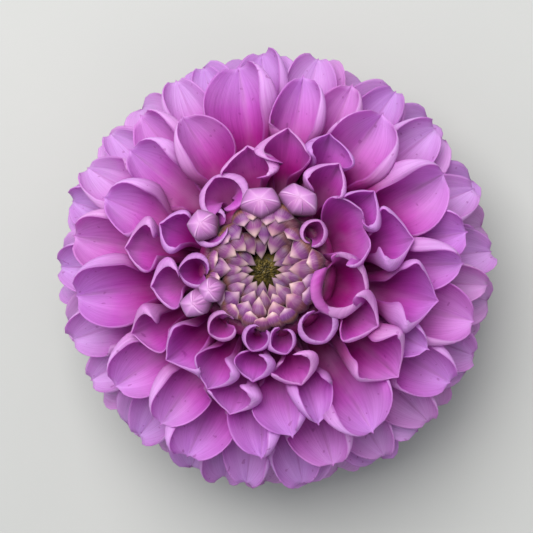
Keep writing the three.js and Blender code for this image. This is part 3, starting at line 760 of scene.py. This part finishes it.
class Paint:
    """A material's nodes, with short ways to add and link them."""

    def __init__(self, name):
        self.material = bpy.data.materials.new(name)
        self.material.use_nodes = True
        self.tree = self.material.node_tree
        self.shader = self.tree.nodes["Principled BSDF"]

    def node(self, kind, **settings):
        made = self.tree.nodes.new(kind)
        for key, value in settings.items():
            setattr(made, key, value)
        return made

    def put(self, socket, value):
        if isinstance(value, bpy.types.NodeSocket):
            self.tree.links.new(value, socket)
        else:
            socket.default_value = value

    def mark(self, name):
        return self.node("ShaderNodeAttribute", attribute_name=name).outputs["Fac"]

    def calc(self, operation, *values, clamp=False):
        made = self.node("ShaderNodeMath", operation=operation, use_clamp=clamp)
        for socket, value in zip(made.inputs, values):
            self.put(socket, value)
        return made.outputs[0]

    def times(self, first, second):
        return self.calc("MULTIPLY", first, second)

    def step(self, value, low, high, to_low=0.0, to_high=1.0):
        """A soft step between two results, as the value goes from low to high."""
        made = self.node("ShaderNodeMapRange", interpolation_type="SMOOTHSTEP")
        for socket, given in zip(made.inputs, (value, low, high, to_low, to_high)):
            self.put(socket, given)
        return made.outputs[0]

    def ramp(self, value, stops):
        """A colour for each value, from stops given as (position, colour)."""
        made = self.node("ShaderNodeValToRGB")
        elements = made.color_ramp.elements
        while len(elements) < len(stops):
            elements.new(0.5)
        for element, (position, colour) in zip(elements, stops):
            element.position = position
            element.color = (*colour, 1)
        self.put(made.inputs[0], value)
        return made.outputs[0]

    def mix(self, share, first, second, blend="MIX"):
        made = self.node("ShaderNodeMix", data_type="RGBA", blend_type=blend)
        self.put(made.inputs[0], share)
        for socket, value in ((made.inputs[6], first), (made.inputs[7], second)):
            self.put(socket, value if isinstance(value, bpy.types.NodeSocket) else (*value, 1))
        return made.outputs[2]

    def filtered(self, skin, filter_colour):
        return self.mix(1.0, skin, filter_colour, "MULTIPLY")

    def vector(self, x, y, z):
        made = self.node("ShaderNodeCombineXYZ")
        for socket, value in zip(made.inputs, (x, y, z)):
            self.put(socket, value)
        return made.outputs[0]

    def noise(self, vector, scale, detail=2.0, roughness=0.5):
        made = self.node("ShaderNodeTexNoise")
        made.inputs["Scale"].default_value = scale
        made.inputs["Detail"].default_value = detail
        made.inputs["Roughness"].default_value = roughness
        self.put(made.inputs["Vector"], vector)
        return made.outputs["Fac"]

    def place(self):
        return self.node("ShaderNodeTexCoord").outputs["Object"]

    def veins(self, crosswise, lengthwise, apart, detail):
        """Streaks along a blade. Its tint sets where in the noise they are read, so each has its own."""
        across = self.times(self.mark("across"), crosswise)
        along = self.times(self.mark("along"), lengthwise)
        own = self.times(self.mark("tint"), apart)
        return self.noise(self.vector(across, along, own), 3.0, detail, 0.6)

    def bump(self, height, strength, distance):
        made = self.node("ShaderNodeBump")
        made.inputs["Strength"].default_value = strength
        made.inputs["Distance"].default_value = distance
        self.put(made.inputs["Height"], height)
        self.put(self.shader.inputs["Normal"], made.outputs["Normal"])

    def through(self, colour, share):
        """Some light passes through the blade and takes its colour."""
        output = self.tree.nodes["Material Output"]
        blend = self.node("ShaderNodeMixShader")
        blend.inputs[0].default_value = share
        glow = self.node("ShaderNodeBsdfTranslucent")
        self.put(glow.inputs["Color"], colour)
        self.tree.links.new(self.shader.outputs[0], blend.inputs[1])
        self.tree.links.new(glow.outputs[0], blend.inputs[2])
        self.tree.links.new(blend.outputs[0], output.inputs["Surface"])


def petal_lengthwise(paint, along, reverse, age):
    """From deep magenta at the root to pale lilac at the tip: partly the petal's own deeper colour at the
    root, partly painted shade of the recesses. Inner petals stay deep for longer, as painted shade deeper
    in the bloom.
    """
    # Painted shade: for the inner petals, which sit deeper in the bloom, the ramp is moved towards the
    # root
    shift = paint.calc("MULTIPLY_ADD", age, 0.16, -0.14)
    face = paint.ramp(paint.calc("ADD", along, shift), [
        (0.3, (0.24, 0.0, 0.1)), (0.55, (0.42, 0.006, 0.28)), (0.72, (0.62, 0.1, 0.6)),
        (0.86, (0.74, 0.3, 0.84)), (1.0, (0.77, 0.47, 0.96)),
    ])
    back = paint.ramp(along, [
        (0.3, (0.12, 0.0, 0.05)), (0.58, (0.28, 0.01, 0.18)), (0.74, (0.57, 0.2, 0.58)),
        (0.88, (0.66, 0.31, 0.74)), (1.0, (0.73, 0.42, 0.82)),
    ])
    return paint.mix(reverse, face, back)


def petal_crosswise(paint, skin, from_rib, along, reverse, age):
    """Painted shade on the walls inside the roll, pale margins that are partly a painted highlight on the
    rims, dusty outermost tips, and painted shade as a dark line along the fold at the midrib.
    """
    # Painted shade: on the face, the walls inside the roll are mixed to a deeper magenta
    wall = paint.times(paint.step(from_rib, 0.3, 0.75), paint.step(reverse, 1.0, 0.0, 0.0, 0.35))
    skin = paint.mix(wall, skin, (0.54, 0.06, 0.56))
    # Pale margins: partly the petal's own paler edge, partly a painted highlight where the rolled rims
    # catch the light; less of it on the inner petals
    outer = paint.calc("MULTIPLY_ADD", reverse, 0.24, from_rib)
    pale_margin_and_highlight = paint.times(paint.step(outer, 0.86, 1.08), paint.step(along, 0.5, 0.85))
    pale_margin_and_highlight = paint.times(pale_margin_and_highlight, paint.step(age, 0.1, 0.7, 0.15, 0.45))
    skin = paint.mix(pale_margin_and_highlight, skin, (0.78, 0.55, 0.94))
    outermost = paint.times(paint.step(age, 0.5, 1.0), paint.step(along, 0.6, 0.9))
    skin = paint.mix(paint.times(outermost, 0.6), skin, (0.64, 0.5, 0.77))
    # Painted shade: a dark line along the midrib towards the tip, where the fold falls into shade
    painted_crease_shade = paint.times(paint.step(from_rib, 0.07, 0.0), paint.step(along, 0.6, 0.85))
    return paint.mix(paint.times(painted_crease_shade, 0.35), skin, (0.36, 0.05, 0.34))


def petal_grain(paint, skin, veins, tint, age):
    """Veins and clouds, and a shade of its own for each petal, with painted shade that darkens the petals
    near the middle, deep in the bloom.
    """
    skin = paint.mix(paint.step(veins, 0.35, 0.75, 0.0, 0.3), skin, (0.45, 0.1, 0.44), "MULTIPLY")
    cloud = paint.noise(paint.place(), 90.0, 3.0)
    skin = paint.mix(paint.step(cloud, 0.4, 0.7, 0.0, 0.22), skin, (0.74, 0.42, 0.78))
    own = paint.ramp(tint, [(0.0, (0.9, 0.84, 0.94)), (0.5, (1.0, 1.0, 1.0)), (1.0, (1.0, 0.94, 0.92))])
    # Painted shade: the petals near the middle of the bloom are darkened
    inner = paint.ramp(age, [(0.1, (0.78, 0.76, 0.78)), (0.6, (1.0, 1.0, 1.0))])
    return paint.filtered(paint.filtered(skin, own), inner)


def petal_material():
    """Lilac petal, deep magenta towards the root, partly as painted shade, and paler on the back. Light
    passes through it.
    """
    paint = Paint("petal")
    along, reverse, age, tint = (paint.mark(name) for name in ("along", "reverse", "age", "tint"))
    from_rib = paint.calc("ABSOLUTE", paint.mark("across"))
    veins = paint.veins(13.0, 1.6, 40.0, 3.0)
    skin = petal_lengthwise(paint, along, reverse, age)
    skin = petal_crosswise(paint, skin, from_rib, along, reverse, age)
    skin = petal_grain(paint, skin, veins, tint, age)
    lip = paint.calc("MAXIMUM", paint.step(from_rib, 0.965, 0.995), paint.step(along, 0.985, 0.998))
    skin = paint.mix(paint.times(lip, 0.45), skin, (0.42, 0.08, 0.45))
    specks = paint.step(paint.noise(paint.place(), 800.0, 0.0), 0.78, 0.82, 0.0, 0.4)
    skin = paint.mix(specks, skin, (0.2, 0.01, 0.18))
    paint.put(paint.shader.inputs["Base Color"], skin)
    paint.put(paint.shader.inputs["Roughness"], paint.step(veins, 0.2, 0.8, 0.5, 0.64))
    paint.shader.inputs["Sheen Weight"].default_value = 0.05
    paint.shader.inputs["Sheen Roughness"].default_value = 0.4
    paint.shader.inputs["Specular IOR Level"].default_value = 0.35
    paint.bump(veins, 0.35, 0.0004)
    paint.through(paint.mix(0.5, skin, (0.95, 0.14, 0.8)), 0.45)
    return paint.material


def young_lengthwise(paint, along, tint, base, blush, cream):
    """From a base in painted shade, where it comes out from under the others, over a blush to a pale tip.
    Some florets have painted shade of dark magenta on the base instead.
    """
    # Painted shade: the base and the lower blush are darkened where the florets come out from under each
    # other
    base_in_painted_shade = tuple(0.3 * part for part in base)
    blush_in_painted_shade = tuple(0.6 * part for part in blush)
    stops = [(0.4, base_in_painted_shade), (0.6, base), (0.7, blush_in_painted_shade), (0.84, blush), (0.99, cream)]
    # Painted shade: on some florets the base is dark magenta
    painted_base_shade = paint.times(paint.step(along, 0.74, 0.6, 0.0, 0.75), paint.step(tint, 0.3, 0.6))
    return paint.mix(painted_base_shade, paint.ramp(along, stops), (0.1, 0.012, 0.06))


def young_material(name, base, blush, cream):
    """Young floret: pale margins and tip, a blush along the middle, and a base of its own colour, with
    painted shade. On the buds the pale colour is a painted highlight on the ridges.
    """
    paint = Paint(name)
    along, age, tint = (paint.mark(mark) for mark in ("along", "age", "tint"))
    from_rib = paint.calc("ABSOLUTE", paint.mark("across"))
    veins = paint.veins(9.0, 1.5, 60.0, 2.0)
    skin = young_lengthwise(paint, along, tint, base, blush, cream)
    # Cream margins; on the buds, whose across mark is high along their ridges, the cream is a painted
    # highlight on the ridges
    pale_margin_and_highlight = paint.times(paint.step(from_rib, 0.55, 0.95), paint.step(along, 0.62, 0.82))
    streaks = paint.step(veins, 0.45, 0.75, 0.0, 0.16)
    skin = paint.mix(paint.calc("ADD", paint.times(pale_margin_and_highlight, 0.95), streaks, clamp=True), skin, cream)
    own = paint.ramp(tint, [
        (0.0, (0.72, 0.6, 0.85)), (0.35, (0.95, 0.85, 0.95)), (0.7, (1.0, 0.96, 0.92)),
        (1.0, (0.8, 0.6, 0.68)),
    ])
    # Painted shade: the young florets near the sunken middle are darkened
    painted_middle_shade = paint.ramp(age, [(0.0, (0.5, 0.52, 0.5)), (0.5, (0.8, 0.8, 0.82)), (1.0, (1.0, 1.0, 1.0))])
    skin = paint.filtered(paint.filtered(skin, own), painted_middle_shade)
    lip = paint.calc("MAXIMUM", paint.step(from_rib, 0.93, 0.99), paint.step(along, 0.97, 0.995))
    skin = paint.mix(paint.times(lip, paint.step(tint, 0.2, 0.9, 0.2, 0.7)), skin, (0.36, 0.1, 0.38))
    paint.put(paint.shader.inputs["Base Color"], skin)
    paint.put(paint.shader.inputs["Roughness"], paint.step(veins, 0.2, 0.8, 0.42, 0.58))
    paint.shader.inputs["Sheen Weight"].default_value = 0.08
    paint.bump(veins, 0.3, 0.0003)
    paint.through(skin, 0.06)
    return paint.material


def green_material(name, dark, light, scale):
    """Plain plant tissue, clouded and finely grained."""
    paint = Paint(name)
    cloud = paint.noise(paint.place(), scale, 4.0, 0.6)
    skin = paint.mix(paint.step(cloud, 0.35, 0.7), dark, light)
    grain = paint.noise(paint.place(), scale * 6, 2.0)
    skin = paint.mix(paint.step(grain, 0.55, 0.7, 0.0, 0.4), skin, light)
    paint.put(paint.shader.inputs["Base Color"], skin)
    paint.put(paint.shader.inputs["Roughness"], paint.step(grain, 0.2, 0.8, 0.4, 0.65))
    paint.bump(grain, 0.4, 0.0003)
    return paint.material


# The pieces of the bloom


def build_ray_florets():
    lilac = petal_material()
    for name, sheets in open_petals():
        piece_of(name, sheets, PETAL_THICKNESS, lilac, "petals", "ray_florets")
    bud = young_material(
        "closed_bud", base=(0.27, 0.04, 0.25), blush=(0.41, 0.16, 0.46), cream=(0.56, 0.33, 0.6)
    )
    piece_of("closed_buds", bud_sheets(), PETAL_THICKNESS, bud, "petals", "ray_florets")
    flesh = green_material("head_flesh", (0.16, 0.003, 0.08), (0.24, 0.015, 0.14), 300)
    finished("head", *head_skin(), flesh, "petals", "ray_florets")


def build_middle():
    young = young_material(
        "young_petal", base=(0.19, 0.075, 0.035), blush=(0.22, 0.042, 0.21), cream=(0.73, 0.54, 0.5)
    )
    piece_of("young_scales", young_sheets(), YOUNG_THICKNESS, young, "young_petals", "young_florets")
    olive = green_material("eye_green", (0.022, 0.017, 0.003), (0.15, 0.105, 0.018), 900)
    finished("eye_buds", *eye_buds(), olive, "eye", "green_eye")


def build_calyx():
    leaf = green_material("leaf_green", (0.07, 0.14, 0.03), (0.16, 0.26, 0.07), 120)
    piece_of("bracts", bract_sheets(), BRACT_THICKNESS, leaf, "green", "green_calyx")
    finished("stem", *stem_and_cup(), leaf, "green", "green_calyx")


# Floor, camera and light


def floor():
    paint = Paint("floor")
    tone = paint.noise(paint.place(), 12.0, 4.0)
    paint.put(paint.shader.inputs["Base Color"], paint.mix(tone, (0.36, 0.37, 0.36), (0.41, 0.41, 0.4)))
    paint.shader.inputs["Roughness"].default_value = 0.8
    bpy.ops.mesh.primitive_plane_add(size=4)
    plane = bpy.context.object
    plane.name = "floor"
    plane.data.materials.append(paint.material)


def camera():
    made = bpy.data.objects.new("camera", bpy.data.cameras.new("camera"))
    bpy.context.scene.collection.objects.link(made)
    bpy.context.scene.camera = made
    tilt = math.radians(CAMERA_TILT)
    back = Vector((math.sin(tilt), 0, math.cos(tilt)))
    right = Vector((math.cos(tilt), 0, -math.sin(tilt)))
    target = Vector((AXIS[0], AXIS[1], CAMERA_TARGET))
    made.location = (target + back * CAMERA_DISTANCE) * MM
    made.rotation_euler = Matrix((right, Vector((0, 1, 0)), back)).transposed().to_euler()
    made.data.lens = CAMERA_LENS
    made.data.sensor_width = made.data.lens * PIXELS / PIXELS_PER_MM / CAMERA_DISTANCE
    made.data.shift_x = -(BALL_PIXEL[0] - PIXELS / 2) / PIXELS
    made.data.shift_y = (BALL_PIXEL[1] - PIXELS / 2) / PIXELS
    made.data.clip_start = 0.01


def sky():
    """A pale sky all round, and colours shown as they are."""
    world = bpy.data.worlds.new("sky")
    bpy.context.scene.world = world
    world.use_nodes = True
    background = world.node_tree.nodes["Background"]
    background.inputs["Color"].default_value = (0.92, 0.96, 1, 1)
    background.inputs["Strength"].default_value = 0.6
    bpy.context.scene.view_settings.view_transform = "Standard"


def soft_light():
    """One broad soft light from above."""
    data = bpy.data.lights.new("soft_top", "AREA")
    data.size = LIGHT_SIZE
    data.energy = LIGHT_POWER
    data.color = (1, 0.98, 0.96)
    made = bpy.data.objects.new("soft_top", data)
    made.location = LIGHT_PLACE
    made.rotation_euler = (Vector(LIGHT_FACES) - made.location).to_track_quat("-Z", "Y").to_euler()
    bpy.context.scene.collection.objects.link(made)


build_ray_florets()
build_middle()
build_calyx()
floor()
camera()
sky()
soft_light()
